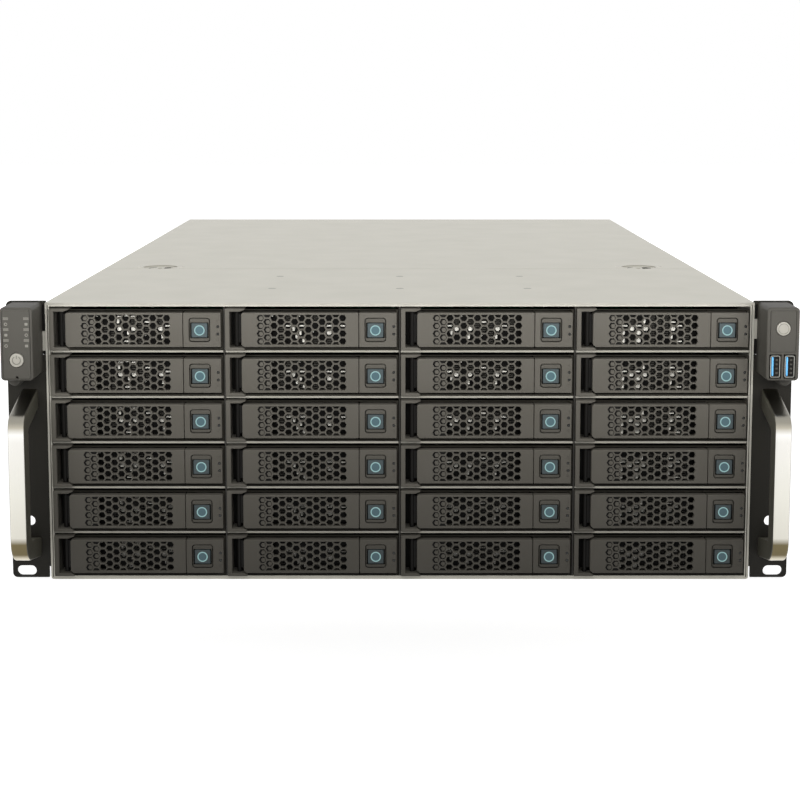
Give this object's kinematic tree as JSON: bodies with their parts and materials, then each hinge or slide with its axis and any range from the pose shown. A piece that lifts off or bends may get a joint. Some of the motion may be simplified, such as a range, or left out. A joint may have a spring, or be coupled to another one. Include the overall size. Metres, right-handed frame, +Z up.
{
  "type": "server chassis",
  "caption": "Rack-mount storage server chassis with hot-swap drive trays, handled rack ears, a lift-off rear cover and an inner fan wall.",
  "frame": {"origin": "middle of the whole outline, on the surface that the chassis stands on", "axes": "+X right as seen from the front, +Y to the rear, +Z up"},
  "size_m": [0.4826, 0.739, 0.1744],
  "materials": {
    "galvanised": "zinc coated sheet",
    "cover": "zinc coated sheet, smooth",
    "bright_steel": "bright",
    "satin_metal": "satin",
    "ear_black": "fine texture black",
    "grey_plastic": "fine texture",
    "tray_plastic": "fine texture",
    "key_plastic": "fine texture",
    "pipe_plastic": "clear dark",
    "black_plastic": "moulded",
    "white_plastic": "smooth",
    "blue_plastic": "smooth",
    "board": "solder mask",
    "brass": "turned"
  },
  "bodies": {
    "chassis": {"chassis_shell": "galvanised", "rear_panel": "galvanised", "front_cover": "cover", "cage_frame": "galvanised", "bay_partitions": "galvanised", "backplane": "board", "drive_connectors": "black_plastic", "fan_wall": "galvanised", "fan_frames": "black_plastic", "rear_fan_frames": "black_plastic", "board_standoffs": "brass", "slot_covers": "bright_steel", "ear_left": "ear_black", "ear_right": "ear_black", "handle_left": "satin_metal", "handle_right": "satin_metal", "control_housing_left": "grey_plastic", "control_housing_right": "grey_plastic", "data_port_shells": "bright_steel", "data_port_tongues": "blue_plastic", "panel_screws": "bright_steel", "cover_screws": "bright_steel"},
    "lever_a1": {"lever_a1": "tray_plastic"},
    "eject_button_a1": {"eject_button_a1": "key_plastic"},
    "rear_cover": {"rear_cover": "cover"},
    "cover_latch_left": {"cover_latch_left": "cover"},
    "cover_latch_right": {"cover_latch_right": "cover"},
    "power_button": {"power_button": "white_plastic"},
    "identify_button": {"identify_button": "white_plastic"},
    "fan_rotor_1": {"fan_rotor_1": "black_plastic"},
    "fan_rotor_2": {"fan_rotor_2": "black_plastic"},
    "fan_rotor_3": {"fan_rotor_3": "black_plastic"},
    "rear_fan_rotor_1": {"rear_fan_rotor_1": "black_plastic"},
    "rear_fan_rotor_2": {"rear_fan_rotor_2": "black_plastic"},
    "tray_a1": {"tray_a1": "tray_plastic", "bezel_a1": "tray_plastic", "light_pipes_a1": "pipe_plastic"},
    "tray_a2": {"tray_a2": "tray_plastic"},
    "tray_a3": {"tray_a3": "tray_plastic"},
    "tray_a4": {"tray_a4": "tray_plastic"},
    "tray_a5": {"tray_a5": "tray_plastic"},
    "tray_a6": {"tray_a6": "tray_plastic"},
    "tray_b1": {"tray_b1": "tray_plastic"},
    "tray_b2": {"tray_b2": "tray_plastic"},
    "tray_b3": {"tray_b3": "tray_plastic"},
    "tray_b4": {"tray_b4": "tray_plastic"},
    "tray_b5": {"tray_b5": "tray_plastic"},
    "tray_b6": {"tray_b6": "tray_plastic"},
    "tray_c1": {"tray_c1": "tray_plastic"},
    "tray_c2": {"tray_c2": "tray_plastic"},
    "tray_c3": {"tray_c3": "tray_plastic"},
    "tray_c4": {"tray_c4": "tray_plastic"},
    "tray_c5": {"tray_c5": "tray_plastic"},
    "tray_c6": {"tray_c6": "tray_plastic"},
    "tray_d1": {"tray_d1": "tray_plastic"},
    "tray_d2": {"tray_d2": "tray_plastic"},
    "tray_d3": {"tray_d3": "tray_plastic"},
    "tray_d4": {"tray_d4": "tray_plastic"},
    "tray_d5": {"tray_d5": "tray_plastic"},
    "tray_d6": {"tray_d6": "tray_plastic"}
  },
  "joints": [
    {"name": "lever_swing", "type": "hinge", "parent": "tray_a1", "child": "lever_a1", "pos_m": [-0.2072, -0.3305, 0.15702], "axis": [0, 0, -1], "range_deg": [0, 62]},
    {"name": "eject_press", "type": "slide", "parent": "tray_a1", "child": "eject_button_a1", "axis": [0, 1, 0], "range_m": [0, 0.0018], "stiffness_N_per_m": 800},
    {"name": "rear_cover_lift", "type": "slide", "parent": "chassis", "child": "rear_cover", "axis": [0, 0, 1], "range_m": [0, 0.2]},
    {"name": "latch_left_press", "type": "slide", "parent": "rear_cover", "child": "cover_latch_left", "axis": [0, 0, -1], "range_m": [0, 0.002], "stiffness_N_per_m": 900},
    {"name": "latch_right_press", "type": "slide", "parent": "rear_cover", "child": "cover_latch_right", "axis": [0, 0, -1], "range_m": [0, 0.002], "stiffness_N_per_m": 900},
    {"name": "power_press", "type": "slide", "parent": "chassis", "child": "power_button", "axis": [0, 1, 0], "range_m": [0, 0.0008], "stiffness_N_per_m": 1200},
    {"name": "identify_press", "type": "slide", "parent": "chassis", "child": "identify_button", "axis": [0, 1, 0], "range_m": [0, 0.0008], "stiffness_N_per_m": 1200},
    {"name": "fan_1_spin", "type": "hinge", "parent": "chassis", "child": "fan_rotor_1", "pos_m": [-0.14387, -0.0763, 0.087], "axis": [0, 1, 0], "continuous": true},
    {"name": "fan_2_spin", "type": "hinge", "parent": "chassis", "child": "fan_rotor_2", "pos_m": [0, -0.0763, 0.087], "axis": [0, 1, 0], "continuous": true},
    {"name": "fan_3_spin", "type": "hinge", "parent": "chassis", "child": "fan_rotor_3", "pos_m": [0.14387, -0.0763, 0.087], "axis": [0, 1, 0], "continuous": true},
    {"name": "rear_fan_1_spin", "type": "hinge", "parent": "chassis", "child": "rear_fan_rotor_1", "pos_m": [-0.0144, 0.3433, 0.112], "axis": [0, 1, 0], "continuous": true},
    {"name": "rear_fan_2_spin", "type": "hinge", "parent": "chassis", "child": "rear_fan_rotor_2", "pos_m": [0.0716, 0.3433, 0.112], "axis": [0, 1, 0], "continuous": true},
    {"name": "tray_a1_slide", "type": "slide", "parent": "chassis", "child": "tray_a1", "axis": [0, -1, 0], "range_m": [0, 0.2]},
    {"name": "tray_a2_slide", "type": "slide", "parent": "chassis", "child": "tray_a2", "axis": [0, -1, 0], "range_m": [0, 0.2]},
    {"name": "tray_a3_slide", "type": "slide", "parent": "chassis", "child": "tray_a3", "axis": [0, -1, 0], "range_m": [0, 0.2]},
    {"name": "tray_a4_slide", "type": "slide", "parent": "chassis", "child": "tray_a4", "axis": [0, -1, 0], "range_m": [0, 0.2]},
    {"name": "tray_a5_slide", "type": "slide", "parent": "chassis", "child": "tray_a5", "axis": [0, -1, 0], "range_m": [0, 0.2]},
    {"name": "tray_a6_slide", "type": "slide", "parent": "chassis", "child": "tray_a6", "axis": [0, -1, 0], "range_m": [0, 0.2]},
    {"name": "tray_b1_slide", "type": "slide", "parent": "chassis", "child": "tray_b1", "axis": [0, -1, 0], "range_m": [0, 0.2]},
    {"name": "tray_b2_slide", "type": "slide", "parent": "chassis", "child": "tray_b2", "axis": [0, -1, 0], "range_m": [0, 0.2]},
    {"name": "tray_b3_slide", "type": "slide", "parent": "chassis", "child": "tray_b3", "axis": [0, -1, 0], "range_m": [0, 0.2]},
    {"name": "tray_b4_slide", "type": "slide", "parent": "chassis", "child": "tray_b4", "axis": [0, -1, 0], "range_m": [0, 0.2]},
    {"name": "tray_b5_slide", "type": "slide", "parent": "chassis", "child": "tray_b5", "axis": [0, -1, 0], "range_m": [0, 0.2]},
    {"name": "tray_b6_slide", "type": "slide", "parent": "chassis", "child": "tray_b6", "axis": [0, -1, 0], "range_m": [0, 0.2]},
    {"name": "tray_c1_slide", "type": "slide", "parent": "chassis", "child": "tray_c1", "axis": [0, -1, 0], "range_m": [0, 0.2]},
    {"name": "tray_c2_slide", "type": "slide", "parent": "chassis", "child": "tray_c2", "axis": [0, -1, 0], "range_m": [0, 0.2]},
    {"name": "tray_c3_slide", "type": "slide", "parent": "chassis", "child": "tray_c3", "axis": [0, -1, 0], "range_m": [0, 0.2]},
    {"name": "tray_c4_slide", "type": "slide", "parent": "chassis", "child": "tray_c4", "axis": [0, -1, 0], "range_m": [0, 0.2]},
    {"name": "tray_c5_slide", "type": "slide", "parent": "chassis", "child": "tray_c5", "axis": [0, -1, 0], "range_m": [0, 0.2]},
    {"name": "tray_c6_slide", "type": "slide", "parent": "chassis", "child": "tray_c6", "axis": [0, -1, 0], "range_m": [0, 0.2]},
    {"name": "tray_d1_slide", "type": "slide", "parent": "chassis", "child": "tray_d1", "axis": [0, -1, 0], "range_m": [0, 0.2]},
    {"name": "tray_d2_slide", "type": "slide", "parent": "chassis", "child": "tray_d2", "axis": [0, -1, 0], "range_m": [0, 0.2]},
    {"name": "tray_d3_slide", "type": "slide", "parent": "chassis", "child": "tray_d3", "axis": [0, -1, 0], "range_m": [0, 0.2]},
    {"name": "tray_d4_slide", "type": "slide", "parent": "chassis", "child": "tray_d4", "axis": [0, -1, 0], "range_m": [0, 0.2]},
    {"name": "tray_d5_slide", "type": "slide", "parent": "chassis", "child": "tray_d5", "axis": [0, -1, 0], "range_m": [0, 0.2]},
    {"name": "tray_d6_slide", "type": "slide", "parent": "chassis", "child": "tray_d6", "axis": [0, -1, 0], "range_m": [0, 0.2]}
  ]
}
